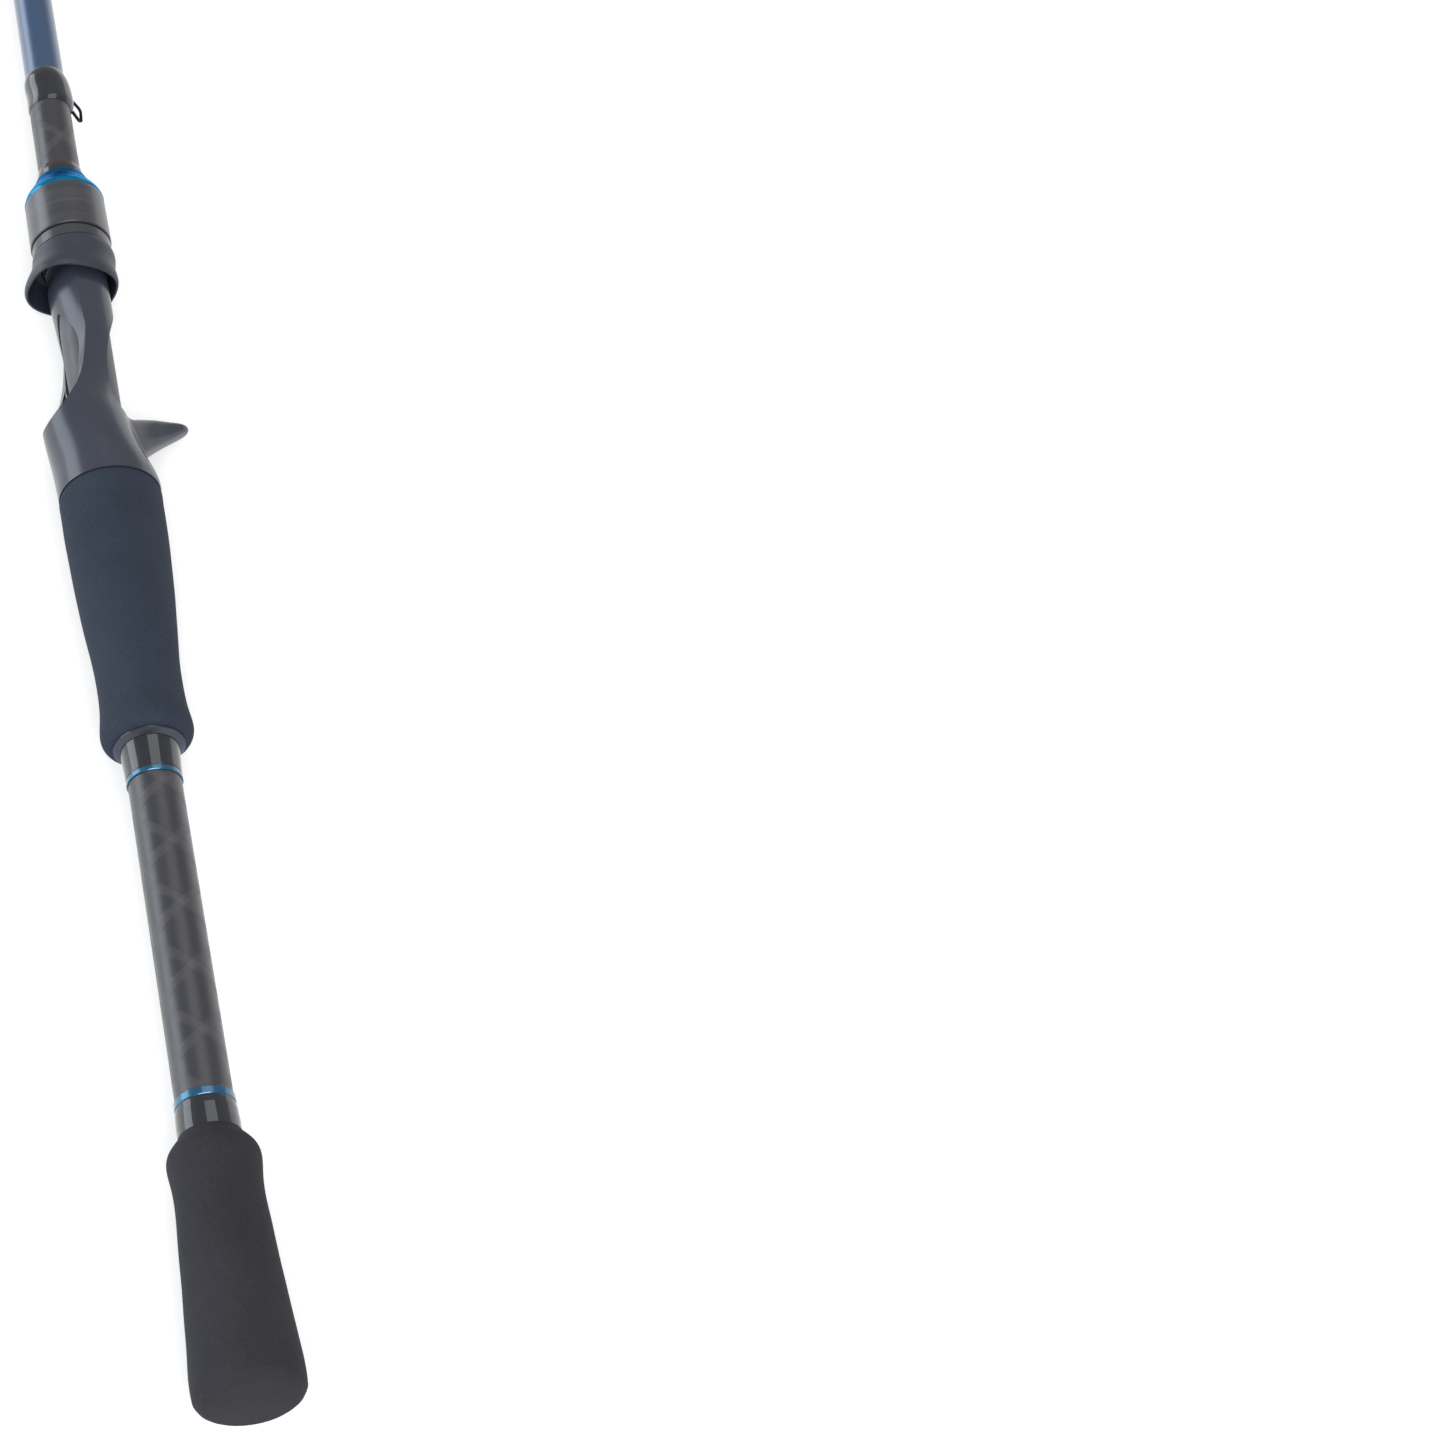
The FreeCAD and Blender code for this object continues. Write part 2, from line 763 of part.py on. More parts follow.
def plate(lower, upper, lower_half, upper_half, thickness):
    """A flat leg across the axis between two (across, along) points."""
    sections = []
    for (across, along), half in ((lower, lower_half), (upper, upper_half)):
        low = along - thickness / 2
        high = along + thickness / 2
        corners = [
            Vector(-across, low, -half),
            Vector(-across, high, -half),
            Vector(-across, high, half),
            Vector(-across, low, half),
        ]
        sections.append(Part.makePolygon(corners + corners[:1]))
    return Part.makeLoft(sections, True, True)


def ring_band(along, height, outside, inside, width):
    """A flat ring square to the rod, standing at a height on the reel side."""
    base = Vector(-height, along - width / 2, 0)
    return Part.makeCylinder(outside, width, base, ALONG).cut(
        Part.makeCylinder(inside, width, base, ALONG))


def guide_foot(along, direction, length):
    """A foot that lies on the blank and thins out away from the ring."""
    radius = blank_radius(along).value
    top = radius + size.foot_thickness
    half = min(size.foot_width / 2, radius * 0.9)
    toe = along + direction * length
    toe_radius = blank_radius(toe).value
    heel = along - direction * 0.6
    side = [
        Vector(-radius * 0.4, heel, -half),
        Vector(-top, heel, -half),
        Vector(-top, along + direction * 1.2, -half),
        Vector(-toe_radius - 0.15, toe, -half),
        Vector(-radius * 0.4, toe, -half),
    ]
    foot = Part.Face(Part.makePolygon(side + side[:1])).extrude(Vector(0, 0, 2 * half))
    start, end = sorted((heel - direction, toe + direction))
    return foot.cut(blank_core(start, end, 0.02))


def guide_wrap(along, direction, length):
    """Thread and epoxy over a guide's foot, a low spindle that is fuller over the foot."""
    low = along + direction * 1.6
    high = along + direction * (length + 3.2)
    start, end = sorted((low, high))
    span = end - start
    heel_share = 0.18 if direction > 0 else 0.82
    skin = []
    for share, fullness in ((0.0, 0.1), (heel_share, 1.0), (0.5, 0.8), (1.0, 0.1)):
        station = start + span * share
        rise = 0.08 + 0.46 * fullness
        radius = blank_radius(station).value + rise
        skin.append((station, 0.36 * fullness, radius, radius))
    skin.sort()
    body = Part.makeLoft([oval(*station) for station in skin], True, False)
    return body.cut(blank_core(start - 1.0, end + 1.0, 0.02))


def make_guide(name, from_tip, height, ring_outside, ring_bore, foot_length):
    along = size.rod_length - from_tip
    wall = size.guide_wall
    radius = blank_radius(along).value
    frame = ring_band(along, height, ring_outside + wall, ring_outside, size.guide_band)
    sole = radius + size.foot_thickness / 2
    neck = height - ring_outside - wall / 2
    directions = (1, -1) if name == "stripper" else (1,)
    for direction in directions:
        spread = direction * 3.2 if len(directions) > 1 else 0.0
        leg = plate((sole, along + spread), (neck, along), 1.0, 1.7, 1.0)
        frame = frame.fuse(leg)
        frame = frame.fuse(guide_foot(along + spread, direction, foot_length))
    frame = frame.cut(Part.makeCylinder(
        ring_outside, 6.0, Vector(-height, along - 3.0, 0), ALONG))
    frame = frame.removeSplitter()
    shaped(name + "_frame", frame)
    ring = ring_band(along, height, ring_outside, ring_bore, size.ring_thickness)
    edges = [edge for edge in ring.Edges if isinstance(edge.Curve, Part.Circle)]
    shaped(name + "_ring", ring.makeFillet((ring_outside - ring_bore) * 0.3, edges))
    for direction in directions:
        spread = direction * 3.2 if len(directions) > 1 else 0.0
        wrap = guide_wrap(along + spread, direction, foot_length).cut(frame)
        side = "_front_wrap" if direction > 0 else "_rear_wrap"
        shaped(name + side, wrap)


def make_tip_top():
    """The tip's tube, its ring holder with a brace, and the ring that the line leaves by."""
    end = size.rod_length - 1.2
    start = end - size.tip_tube_length
    inside = blank_radius(start).value + 0.03
    outside = inside + size.tip_tube_wall
    height = size.tip_ring_height
    ring_along = end - 0.4
    holder = ring_band(ring_along, height, size.tip_ring_radius + size.guide_wall,
                       size.tip_ring_radius, size.guide_band)
    frame = cone(start, end, outside, outside).fuse(holder)
    frame = frame.fuse(plate((outside * 0.6, end - 4.5), (height - size.tip_ring_radius - 0.3, ring_along),
                             0.5, 1.2, 0.9))
    frame = frame.cut(cone(start - 1.0, end - 2.6, inside, inside))
    frame = frame.cut(Part.makeCylinder(
        size.tip_ring_radius, 8.0, Vector(-height, ring_along - 4.0, 0), ALONG))
    shaped("tip_frame", frame.removeSplitter())
    ring = ring_band(ring_along, height, size.tip_ring_radius, size.tip_ring_bore, size.ring_thickness)
    edges = [edge for edge in ring.Edges if isinstance(edge.Curve, Part.Circle)]
    shaped("tip_ring", ring.makeFillet(0.3, edges))
    skin = []
    for station, rise in ((start - 5.0, 0.06), (start - 3.5, 0.3), (start - 0.9, 0.36), (start, 0.3)):
        radius = blank_radius(station).value + rise
        skin.append(oval(station, 0.0, radius, radius))
    wrap = Part.makeLoft(skin, True, False).cut(blank_core(start - 6.0, start + 1.0, 0.02))
    shaped("tip_wrap", wrap)


# ---------------------------------------------------------------- assembly


def check_model():
    for item in doc.Objects:
        if "Invalid" in item.State or "Error" in item.State:
            raise RuntimeError(f"{item.Name} did not build: {item.State}")
    for item in sub_parts:
        if item.Shape.isNull() or not item.Shape.isValid():
            raise RuntimeError(f"{item.Label} has no valid shape")


def write_parts():
    os.makedirs("parts", exist_ok=True)
    for item in sub_parts:
        item.Shape.exportStep(f"parts/{item.Label}.step")


make_blank()
make_tape()
make_handle_wraps()
make_winding_check()
make_grips()
make_reel_seat()
make_hood()
make_nut()
make_collar()
make_keeper()
for guide in GUIDES:
    make_guide(*guide)
make_tip_top()
doc.recompute()
check_model()
write_parts()
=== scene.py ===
import json
import math

import bmesh
import bpy
import numpy as np
from mathutils import Matrix, Vector


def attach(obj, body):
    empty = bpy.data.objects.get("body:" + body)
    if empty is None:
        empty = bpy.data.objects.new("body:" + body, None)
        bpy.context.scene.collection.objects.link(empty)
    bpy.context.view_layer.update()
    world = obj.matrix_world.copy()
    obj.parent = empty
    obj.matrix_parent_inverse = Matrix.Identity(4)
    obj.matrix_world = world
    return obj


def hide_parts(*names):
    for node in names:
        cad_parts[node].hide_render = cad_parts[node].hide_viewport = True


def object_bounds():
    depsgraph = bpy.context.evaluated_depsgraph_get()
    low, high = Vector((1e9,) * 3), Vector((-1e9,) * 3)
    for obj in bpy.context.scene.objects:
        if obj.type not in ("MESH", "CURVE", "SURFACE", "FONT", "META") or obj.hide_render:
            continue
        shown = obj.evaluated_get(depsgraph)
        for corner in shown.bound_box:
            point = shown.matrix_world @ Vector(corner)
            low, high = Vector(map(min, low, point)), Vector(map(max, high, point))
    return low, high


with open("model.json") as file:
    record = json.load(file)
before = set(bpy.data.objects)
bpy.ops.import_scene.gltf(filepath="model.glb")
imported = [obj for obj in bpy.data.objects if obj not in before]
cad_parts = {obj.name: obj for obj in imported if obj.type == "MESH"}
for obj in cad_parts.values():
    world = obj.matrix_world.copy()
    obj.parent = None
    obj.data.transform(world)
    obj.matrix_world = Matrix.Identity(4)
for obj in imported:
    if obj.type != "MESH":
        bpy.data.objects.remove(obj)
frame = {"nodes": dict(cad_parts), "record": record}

cad_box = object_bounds()
nodes = frame["nodes"]
body_of = {}
for body, names in frame["record"]["behaviour"]["bodies"].items():
    body_of.update({name: body for name in names})
MM = 0.001


# ---------------------------------------------------------------- shader helpers


class Surface:
    """A material under construction: one Principled shader and short ways to feed it."""

    def __init__(self, name, roughness, metallic=0.0, specular=0.5):
        self.material = bpy.data.materials.new(name)
        self.material.use_nodes = True
        self.tree = self.material.node_tree
        self.shader = self.tree.nodes["Principled BSDF"]
        self.set("Roughness", roughness)
        self.set("Metallic", metallic)
        self.set("Specular IOR Level", specular)
        place = self.add("ShaderNodeTexCoord")
        self.place = place.outputs["Object"]
        split = self.add("ShaderNodeSeparateXYZ")
        self.link(self.place, split.inputs[0])
        self.across, self.along, self.up = split.outputs

    def add(self, kind, **settings):
        node = self.tree.nodes.new(kind)
        for key, value in settings.items():
            setattr(node, key, value)
        return node

    def link(self, source, target):
        self.tree.links.new(source, target)

    def set(self, socket, value):
        self.shader.inputs[socket].default_value = value

    def feed(self, socket, source):
        self.link(source, self.shader.inputs[socket])

    def math(self, operation, first, second=None, third=None):
        node = self.add("ShaderNodeMath", operation=operation)
        for socket, value in zip(node.inputs, (first, second, third)):
            if value is None:
                continue
            if isinstance(value, (int, float)):
                socket.default_value = value
            else:
                self.link(value, socket)
        return node.outputs[0]

    def turn(self):
        """The angle about the rod's axis, from 0 to 1 for one turn."""
        angle = self.math("ARCTAN2", self.up, self.across)
        return self.math("DIVIDE", angle, math.tau)

    def noise(self, size, detail, stretch=(1, 1, 1)):
        """Noise whose features are about one size across, from 0 to 1."""
        scaled = self.add("ShaderNodeMapping", vector_type="POINT")
        scaled.inputs["Scale"].default_value = stretch
        self.link(self.place, scaled.inputs["Vector"])
        node = self.add("ShaderNodeTexNoise")
        node.inputs["Scale"].default_value = 1.0 / size
        node.inputs["Detail"].default_value = detail
        self.link(scaled.outputs[0], node.inputs["Vector"])
        return node.outputs["Fac"]

    def cells(self, size):
        """Distance from the nearest of many scattered points, about one size apart."""
        node = self.add("ShaderNodeTexVoronoi", feature="F1")
        node.inputs["Scale"].default_value = 1.0 / size
        self.link(self.place, node.inputs["Vector"])
        return node.outputs["Distance"]

    def ripple(self, value, period):
        """A smooth wave from 0 to 1 along a length."""
        wave = self.math("SINE", self.math("MULTIPLY", value, math.tau / period))
        return self.math("MULTIPLY_ADD", wave, 0.5, 0.5)

    def band(self, value, half_width, softness):
        """1 inside a band about whole numbers of value, falling softly to 0 outside."""
        near = self.math("PINGPONG", value, 0.5)
        node = self.add("ShaderNodeMapRange", interpolation_type="SMOOTHSTEP")
        node.inputs["From Min"].default_value = half_width + softness
        node.inputs["From Max"].default_value = half_width - softness
        self.link(near, node.inputs["Value"])
        return node.outputs[0]

    def between(self, factor, low, high):
        """A number from low to high as the factor goes from 0 to 1."""
        node = self.add("ShaderNodeMapRange")
        node.inputs["To Min"].default_value = low
        node.inputs["To Max"].default_value = high
        self.link(factor, node.inputs["Value"])
        return node.outputs[0]

    def tones(self, factor, stops):
        """Colour from a factor, through (position, colour) stops."""
        node = self.add("ShaderNodeValToRGB")
        ramp = node.color_ramp
        while len(ramp.elements) < len(stops):
            ramp.elements.new(0.5)
        for element, (position, colour) in zip(ramp.elements, stops):
            element.position = position
            element.color = (*colour, 1.0)
        self.link(factor, node.inputs["Fac"])
        return node.outputs["Color"]

    def tint(self, mix, first, second):
        """Two colours mixed by a factor."""
        node = self.add("ShaderNodeMix", data_type="RGBA")
        self.link(mix, node.inputs["Factor"])
        for socket, colour in ((node.inputs[6], first), (node.inputs[7], second)):
            if isinstance(colour, tuple):
                socket.default_value = (*colour, 1.0)
            else:
                self.link(colour, socket)
        return node.outputs[2]

    def bump(self, height, distance, strength, under=None):
        """A normal raised by a height, on top of another bump where one is given."""
        node = self.add("ShaderNodeBump")
        node.inputs["Distance"].default_value = distance
        node.inputs["Strength"].default_value = strength
        self.link(height, node.inputs["Height"])
        if under is not None:
            self.link(under, node.inputs["Normal"])
        return node.outputs["Normal"]


def shade(tone, factor):
    """A colour made lighter or darker by a factor."""
    return tuple(min(1.0, part * factor) for part in tone)


# ---------------------------------------------------------------- materials


def foam(name, tone):
    """Closed-cell foam: sanded cells, faint mottling and pale specks painted into the colour as
    glints of light on the cells.
    """
    s = Surface(name, 0.88, specular=0.22)
    cells = s.cells(0.5 * MM)
    pores = s.noise(0.8 * MM, 4.0)
    mottle = s.noise(16 * MM, 3.0)
    base = s.tones(mottle, [(0.3, shade(tone, 0.88)), (0.7, shade(tone, 1.1))])
    worn = s.tint(s.math("MULTIPLY", pores, 0.5), base, shade(tone, 0.55))
    # painted glints: pale specks lift the colour to stand for the sparkle of light on the foam cells
    grain = s.tones(s.noise(0.35 * MM, 2.0), [(0.60, (0, 0, 0)), (0.72, (1, 1, 1))])
    s.feed("Base Color", s.tint(s.math("MULTIPLY", grain, 0.22), worn, shade(tone, 3.2)))
    s.feed("Roughness", s.between(pores, 0.80, 0.95))
    fine = s.bump(cells, 0.12 * MM, 0.6)
    s.feed("Normal", s.bump(pores, 0.14 * MM, 0.6, fine))
    return s.material


def crossed_carbon(name, ground, tape):
    """Satin carbon blank under two pairs of narrow tapes wound opposite ways, with fine strand lines
    lightened as a painted sparkle.
    """
    pass_gap = 17.1 * MM
    first_crossing = 89.3 * MM
    crossing_side = 0.189
    half_tape = 0.085
    soft_edge = 0.03
    s = Surface(name, 0.3, specular=0.5)
    along = s.math("DIVIDE", s.math("SUBTRACT", s.along, first_crossing), pass_gap)
    around = s.math("MULTIPLY", s.math("SUBTRACT", s.turn(), crossing_side), 2)
    right = s.math("ADD", along, around)
    left = s.math("SUBTRACT", along, around)
    tapes = s.math("ADD", s.band(right, half_tape, soft_edge), s.band(left, half_tape, soft_edge))
    strands_and_sparkle = s.math("MULTIPLY", s.ripple(right, 0.022), s.ripple(left, 0.027))
    mottle = s.noise(3.0 * MM, 3.0, (1, 0.2, 1))
    base = s.tint(s.math("MULTIPLY", tapes, 0.5), ground, tape)
    streaked = s.tint(s.math("MULTIPLY", mottle, 0.5), base, shade(ground, 0.7))
    # painted sparkle: the strand lines lighten the colour to stand for the shimmer of light along the
    # fibres; their bump below is real relief
    s.feed("Base Color", s.tint(s.math("MULTIPLY", strands_and_sparkle, 0.3), streaked, shade(tape, 1.2)))
    s.feed("Roughness", s.between(tapes, 0.33, 0.44))
    s.set("Coat Weight", 0.2)
    s.set("Coat Roughness", 0.4)
    rise = s.bump(tapes, 0.07 * MM, 0.6)
    s.feed("Normal", s.bump(strands_and_sparkle, 0.006 * MM, 0.4, rise))
    return s.material


def bare_carbon(name, ground):
    """Unpainted carbon sleeve with its wound fibre lines."""
    pitch = 0.9 * MM
    s = Surface(name, 0.42, specular=0.45)
    lines = s.ripple(s.math("ADD", s.along, s.math("MULTIPLY", s.turn(), pitch)), pitch)
    grain = s.noise(0.7 * MM, 4.0, (1, 0.2, 1))
    base = s.tint(s.math("MULTIPLY", grain, 0.6), shade(ground, 1.25), shade(ground, 0.65))
    s.feed("Base Color", s.tint(s.math("MULTIPLY", lines, 0.25), base, shade(ground, 1.7)))
    s.feed("Roughness", s.between(grain, 0.36, 0.5))
    s.feed("Normal", s.bump(lines, 0.02 * MM, 0.4))
    return s.material


def bound_thread(name, tone):
    """Thread turns under a thick clear epoxy coat."""
    pitch = 0.22 * MM
    s = Surface(name, 0.42, specular=0.12)
    turns = s.ripple(s.along, pitch)
    uneven = s.noise(1.2 * MM, 3.0, (1, 4, 1))
    base = s.tint(turns, shade(tone, 0.55), shade(tone, 1.25))
    s.feed("Base Color", s.tint(s.math("MULTIPLY", uneven, 0.4), base, shade(tone, 0.8)))
    s.feed("Roughness", s.between(uneven, 0.36, 0.5))
    s.feed("Normal", s.bump(turns, 0.03 * MM, 0.35))
    s.set("Coat Weight", 1.0)
    s.set("Coat Roughness", 0.05)
    s.set("Coat IOR", 1.55)
    s.feed("Coat Normal", s.bump(s.noise(5.0 * MM, 1.0), 0.08 * MM, 0.15))
    return s.material


def metal_thread(name, tone):
    """Bright metallic thread, coated."""
    pitch = 0.2 * MM
    s = Surface(name, 0.34, metallic=0.75)
    turns = s.ripple(s.along, pitch)
    glint = s.noise(0.35 * MM, 2.0, (1, 3, 1))
    base = s.tint(turns, shade(tone, 0.6), shade(tone, 1.3))
    s.feed("Base Color", s.tint(s.math("MULTIPLY", glint, 0.5), base, shade(tone, 1.6)))
    s.feed("Roughness", s.between(glint, 0.2, 0.4))
    s.feed("Normal", s.bump(turns, 0.02 * MM, 0.5))
    s.set("Coat Weight", 1.0)
    s.set("Coat Roughness", 0.04)
    return s.material


def anodised(name, tone, roughness):
    """Turned and anodised aluminium with lathe lines round it, tinted even in its highlights."""
    s = Surface(name, roughness, metallic=0.8)
    cut = s.noise(0.3 * MM, 2.0, (0.02, 1, 0.02))
    haze = s.noise(2.5 * MM, 3.0)
    base = s.tint(haze, shade(tone, 0.86), shade(tone, 1.14))
    s.feed("Base Color", s.tint(s.math("MULTIPLY", cut, 0.2), base, shade(tone, 1.3)))
    s.feed("Roughness", s.between(haze, roughness - 0.04, roughness + 0.05))
    s.feed("Normal", s.bump(cut, 0.004 * MM, 0.25))
    s.set("Anisotropic", 0.35)
    strongest = max(tone)
    s.set("Specular Tint", [part / strongest for part in tone] + [1.0])
    return s.material


def moulded_nylon(name, tone, polish=0.18):
    """Reinforced nylon with a fine spark-eroded grain and a smooth satin look."""
    s = Surface(name, polish, specular=0.5)
    grain = s.cells(0.3 * MM)
    cloud = s.noise(7 * MM, 3.0)
    fine = s.noise(0.4 * MM, 3.0)
    base = s.tones(cloud, [(0.25, shade(tone, 0.92)), (0.75, shade(tone, 1.08))])
    s.feed("Base Color", s.tint(s.math("MULTIPLY", fine, 0.3), base, shade(tone, 0.75)))
    s.feed("Roughness", s.between(fine, polish, polish + 0.1))
    s.feed("Normal", s.bump(grain, 0.012 * MM, 0.4, s.bump(fine, 0.01 * MM, 0.4)))
    return s.material


def wound_carbon(name, tone):
    """Carbon sleeve wound in narrow rings of tow under a satin coat."""
    s = Surface(name, 0.34, specular=0.5)
    rings = s.noise(1.5 * MM, 2.0, (0.06, 1, 0.06))
    fibres = s.noise(0.22 * MM, 3.0, (0.12, 1, 0.12))
    base = s.tones(rings, [(0.35, shade(tone, 0.72)), (0.65, shade(tone, 1.3))])
    s.feed("Base Color", s.tint(s.math("MULTIPLY", fibres, 0.5), base, shade(tone, 0.6)))
    s.feed("Roughness", s.between(rings, 0.30, 0.42))
    s.set("Coat Weight", 0.35)
    s.set("Coat Roughness", 0.22)
    s.feed("Normal", s.bump(fibres, 0.015 * MM, 0.5))
    return s.material


def lacquered_blank(name, tone):
    """Blue pearl lacquer over carbon: fine flake under a hard clear coat."""
    s = Surface(name, 0.34, metallic=0.35)
    flake = s.cells(0.16 * MM)
    depth = s.noise(20 * MM, 2.0, (1, 0.2, 1))
    base = s.tint(depth, shade(tone, 0.86), shade(tone, 1.12))
    s.feed("Base Color", s.tint(s.math("MULTIPLY", flake, 0.5), base, shade(tone, 1.5)))
    s.feed("Roughness", s.between(flake, 0.28, 0.42))
    s.set("Coat Weight", 1.0)
    s.set("Coat Roughness", 0.3)
    s.feed("Coat Normal", s.bump(s.noise(8.0 * MM, 1.0), 0.02 * MM, 0.1))
    return s.material


def plated_wire(name, tone):
    """Black plated stainless wire and stampings, with a drawn grain."""
    s = Surface(name, 0.3, metallic=0.85)
    drawn = s.noise(0.2 * MM, 3.0, (4, 1, 4))
    s.feed("Base Color", s.tint(drawn, shade(tone, 0.75), shade(tone, 1.5)))
    s.feed("Roughness", s.between(drawn, 0.22, 0.4))
    s.feed("Normal", s.bump(drawn, 0.01 * MM, 0.4))
    return s.material


def polished_ceramic(name, tone):
    """Dark polished ceramic with faint specks."""
    s = Surface(name, 0.12, specular=0.6)
    speck = s.noise(0.25 * MM, 2.0)
    s.feed("Base Color", s.tint(speck, shade(tone, 0.8), shade(tone, 1.3)))
    s.feed("Roughness", s.between(speck, 0.07, 0.16))
    s.set("Coat Weight", 0.6)
    s.set("Coat Roughness", 0.03)
    return s.material


def paper_floor(name):
    """Pale matte paper, lit softly from below as on a light table."""
    s = Surface(name, 0.9, specular=0.1)
    fibre = s.noise(2.5 * MM, 4.0)
    s.feed("Base Color", s.tint(fibre, (0.53, 0.53, 0.53), (0.56, 0.56, 0.56)))
    s.feed("Normal", s.bump(fibre, 0.02 * MM, 0.2))
    s.set("Emission Color", (1, 1, 1, 1))
    s.set("Emission Strength", 0.5)
    return s.material


# ---------------------------------------------------------------- finishes of the CAD nodes


def finish_nodes():
    """One procedural material for each kind of part, set on the CAD nodes that stay."""
    black_wrap = bound_thread("black_thread_epoxy", (0.008, 0.010, 0.016))
    carbon_ground, carbon_strips = (0.023, 0.024, 0.031), (0.060, 0.055, 0.060)
    finishes = {
        "blank": lacquered_blank("blue_lacquer", (0.015, 0.050, 0.115)),
        "carbon_tape": crossed_carbon("crossed_tape_carbon", carbon_ground, carbon_strips),
        "lower_band": metal_thread("blue_metal_thread", (0.003, 0.085, 0.175)),
        "winding_check": anodised("black_anodised", (0.060, 0.066, 0.084), 0.26),
        "reel_seat": moulded_nylon("seat_nylon", (0.030, 0.034, 0.050)),
        "hood": moulded_nylon("hood_nylon", (0.021, 0.024, 0.038), 0.42),
        "seat_core": bare_carbon("core_carbon", (0.052, 0.054, 0.062)),
        "spacer_ring": moulded_nylon("spacer_nylon", (0.035, 0.036, 0.042)),
        "nut_thread_insert": moulded_nylon("insert_nylon", (0.02, 0.02, 0.022)),
        "nut_sleeve": wound_carbon("sleeve_carbon", (0.036, 0.037, 0.046)),
        "trim_ring": anodised("blue_anodised", (0.012, 0.185, 0.35), 0.17),
        "trim_cone": anodised("blue_anodised_deep", (0.005, 0.100, 0.195), 0.24),
        "collar_trim": bound_thread("red_thread_epoxy", (0.055, 0.013, 0.013)),
        "keeper_wire": plated_wire("black_wire", (0.02, 0.02, 0.023)),
    }
    finishes["upper_band"] = finishes["lower_band"]
    frame_steel = plated_wire("frame_steel", (0.05, 0.052, 0.06))
    ceramic = polished_ceramic("ring_ceramic", (0.03, 0.031, 0.036))
    for name, node in nodes.items():
        if name in finishes:
            material = finishes[name]
        elif name.endswith("_frame"):
            material = frame_steel
        elif name.endswith("_ring"):
            material = ceramic
        else:
            material = black_wrap
        for slot in node.material_slots:
            slot.material = material


# ---------------------------------------------------------------- foam grips


def outer_profile(name, lowest_radius):
    """The CAD grip's outline as (along, radius) points, read from its outer vertices."""
    mesh = nodes[name].data
    points = np.empty(len(mesh.vertices) * 3)
    mesh.vertices.foreach_get("co", points)
    points = points.reshape(-1, 3)
    radius = np.hypot(points[:, 0], points[:, 2])
    outer = radius > lowest_radius
    along = np.round(points[outer, 1], 5)
    radius = radius[outer]
    stations = np.unique(along)
    return stations, np.array([radius[along == station].max() for station in stations])


def foam_grip(name, tone, bore_start=None):
    """A lathe-turned foam grip: close rings, hand-sanded waves and a real bore."""
    around = 144
    ring_gap = 0.5 * MM
    sanding = 0.03 * MM
    slow_wave = 130
    quick_wave = 310
    edge_angle = math.radians(50)
    bore = 6.9 * MM
    stations, radii = outer_profile(name, bore)
    low, high = stations[0], stations[-1]
    count = int((high - low) / ring_gap)
    rows = [(along, float(np.interp(along, stations, radii)))
            for along in np.linspace(low, high, count)]
    rows += [(high, bore), (low if bore_start is None else bore_start, bore)]
    work = bmesh.new()
    rings = []
    for along, radius in rows:
        ring = []
        for step in range(around):
            angle = math.tau * step / around
            wave = math.sin(3 * angle + along * slow_wave) * math.sin(along * quick_wave + 2 * angle)
            sanded = radius - sanding * (1 + wave)
            ring.append(work.verts.new((sanded * math.cos(angle), along, sanded * math.sin(angle))))
        rings.append(ring)
    pairs = list(zip(rings, rings[1:]))
    if bore_start is None:
        pairs.append((rings[-1], rings[0]))
    else:
        work.faces.new(rings[0])
        work.faces.new(rings[-1])
    for lower, upper in pairs:
        for step in range(around):
            after = (step + 1) % around
            work.faces.new((lower[step], upper[step], upper[after], lower[after]))
    bmesh.ops.recalc_face_normals(work, faces=work.faces)
    mesh = bpy.data.meshes.new(name + "_foam")
    work.to_mesh(mesh)
    work.free()
    mesh.shade_smooth()
    mesh.set_sharp_from_angle(angle=edge_angle)
    mesh.materials.append(foam(name + "_eva", tone))
    piece = bpy.data.objects.new(name + "_foam", mesh)
    bpy.context.scene.collection.objects.link(piece)
    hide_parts(name)
    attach(piece, body_of[name])


# ---------------------------------------------------------------- studio


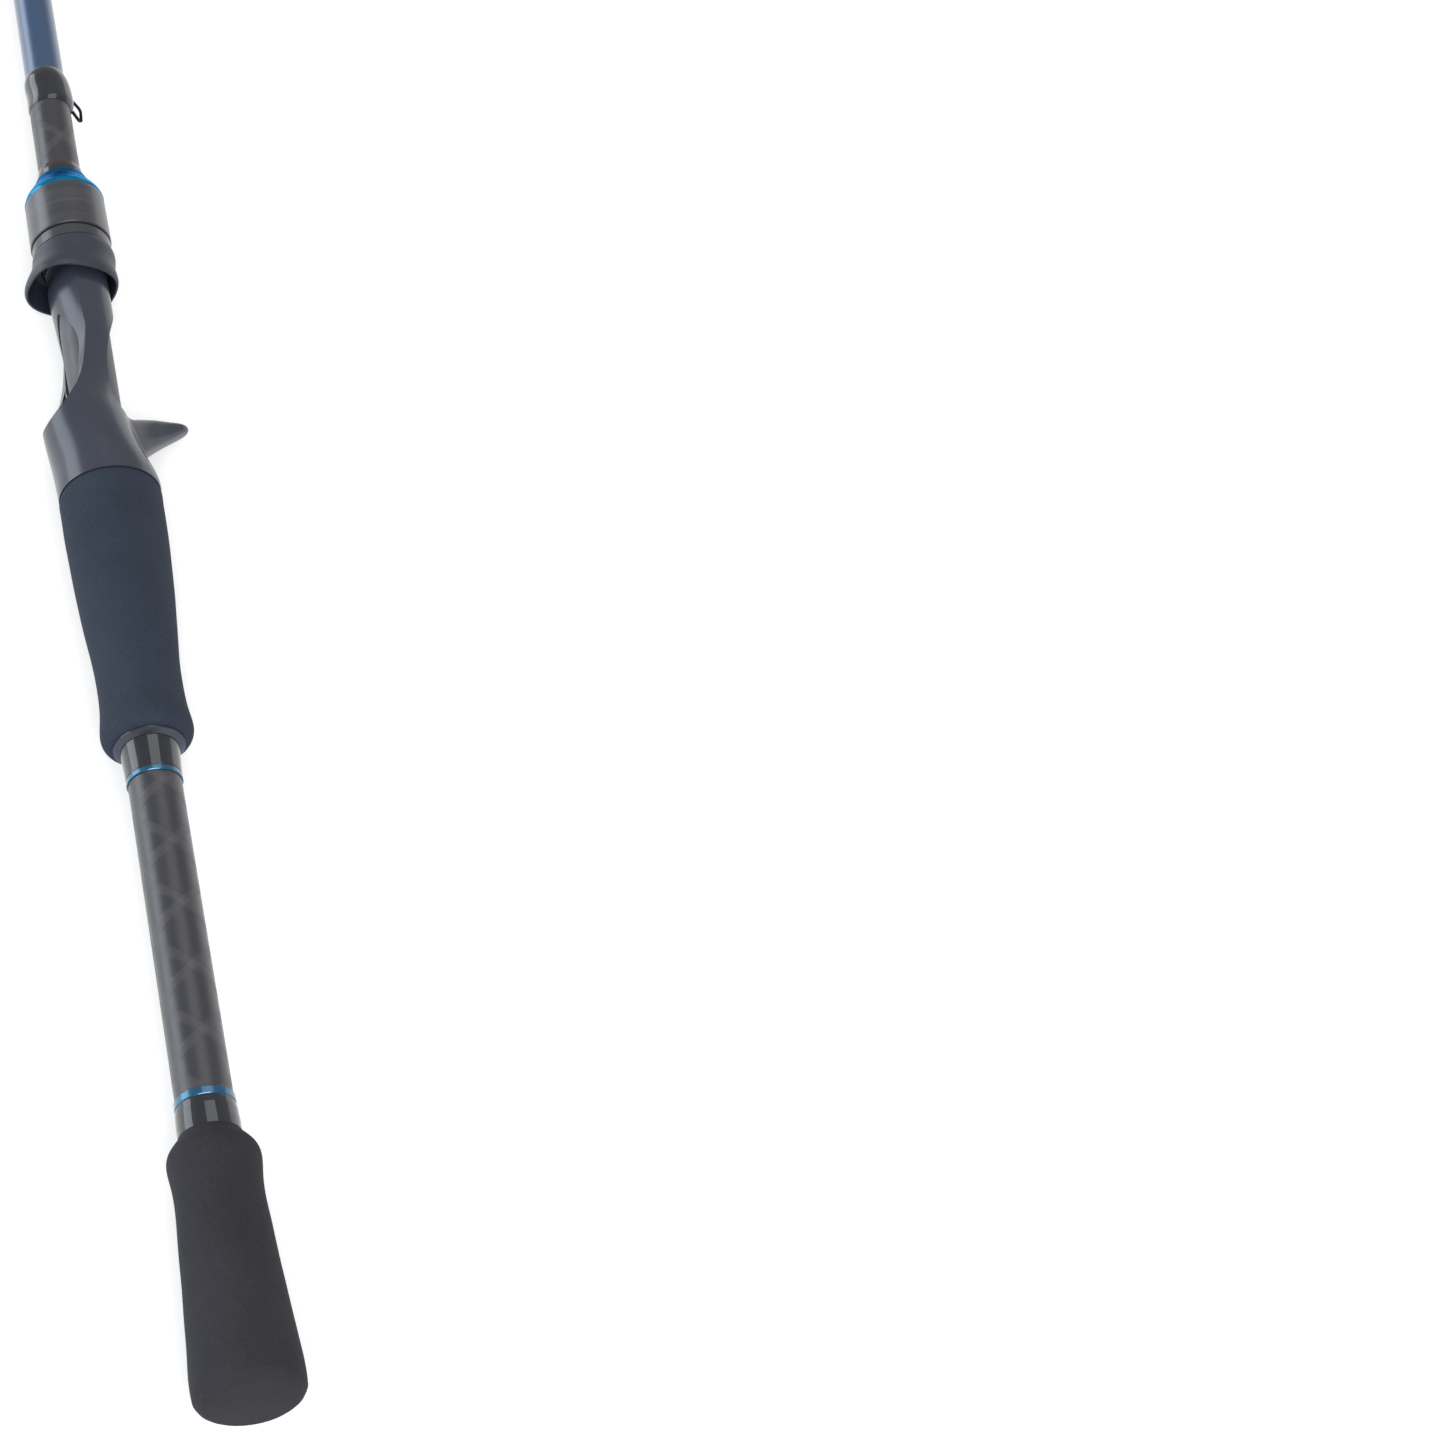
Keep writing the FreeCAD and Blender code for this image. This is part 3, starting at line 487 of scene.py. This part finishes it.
def look_camera():
    """A long lens behind and above the butt, looking down the rod, rolled to the left."""
    place = (0, -0.373365, 0.78374)
    pitch, yaw, roll = 0.591163, 0.140571, -0.248677
    forward = math.cos(yaw)
    ahead = Vector((math.sin(yaw), forward * math.sin(pitch), -forward * math.cos(pitch)))
    ahead.normalize()
    right = ahead.cross(Vector((0, 1, 0))).normalized()
    up = right.cross(ahead)
    tilted_right = math.cos(roll) * right + math.sin(roll) * up
    tilted_up = math.cos(roll) * up - math.sin(roll) * right
    turn = Matrix((tilted_right, tilted_up, -ahead)).transposed()
    data = bpy.data.cameras.new("camera")
    data.sensor_width = 36
    data.lens = 100.386
    data.clip_start = 0.02
    camera = bpy.data.objects.new("camera", data)
    camera.matrix_world = Matrix.Translation(place) @ turn.to_4x4()
    bpy.context.scene.collection.objects.link(camera)
    bpy.context.scene.camera = camera


def soft_box(name, place, turn, across, along, power, colour=(1, 1, 1)):
    """A flat light, turned from facing straight down by angles in degrees."""
    data = bpy.data.lights.new(name, "AREA")
    data.shape = "RECTANGLE"
    data.size = across
    data.size_y = along
    data.energy = power
    data.color = colour
    light = bpy.data.objects.new(name, data)
    light.location = place
    light.rotation_euler = [math.radians(angle) for angle in turn]
    bpy.context.scene.collection.objects.link(light)


def make_studio():
    """A pale floor just under the rod, a large light on the left, a strip above and a fill behind."""
    clearance = 0.2 * MM
    height = cad_box[0][2] - clearance
    middle = (cad_box[0][1] + cad_box[1][1]) / 2
    half = 6.0
    mesh = bpy.data.meshes.new("floor")
    corners = [(-half, -half), (half, -half), (half, half), (-half, half)]
    mesh.from_pydata([(x, middle + y, height) for x, y in corners], [], [(0, 1, 2, 3)])
    floor = bpy.data.objects.new("floor", mesh)
    mesh.materials.append(paper_floor("studio_paper"))
    bpy.context.scene.collection.objects.link(floor)
    soft_box("left_box", (-3.3, 1.84, 1.144), (0, -85, 0), 2.2, 6.16, 130.7, (0.84, 0.93, 1.0))
    soft_box("top_strip", (0.55, 0.82, 1.7), (0, 18, 0), 1.25, 1.25, 7.6)
    soft_box("back_fill", (0.2, -1.6, 1.8), (48, 0, 0), 1.6, 1.6, 60)
    world = bpy.data.worlds.new("studio")
    world.use_nodes = True
    sky = world.node_tree.nodes["Background"]
    sky.inputs["Color"].default_value = (1, 1, 1, 1)
    sky.inputs["Strength"].default_value = 0.5
    bpy.context.scene.world = world
    bpy.context.scene.view_settings.view_transform = "Standard"


finish_nodes()
foam_grip("butt_grip", (0.026, 0.0255, 0.031), bore_start=4.8 * MM)
foam_grip("fore_grip", (0.024, 0.032, 0.050))
look_camera()
make_studio()
bpy.context.view_layer.update()
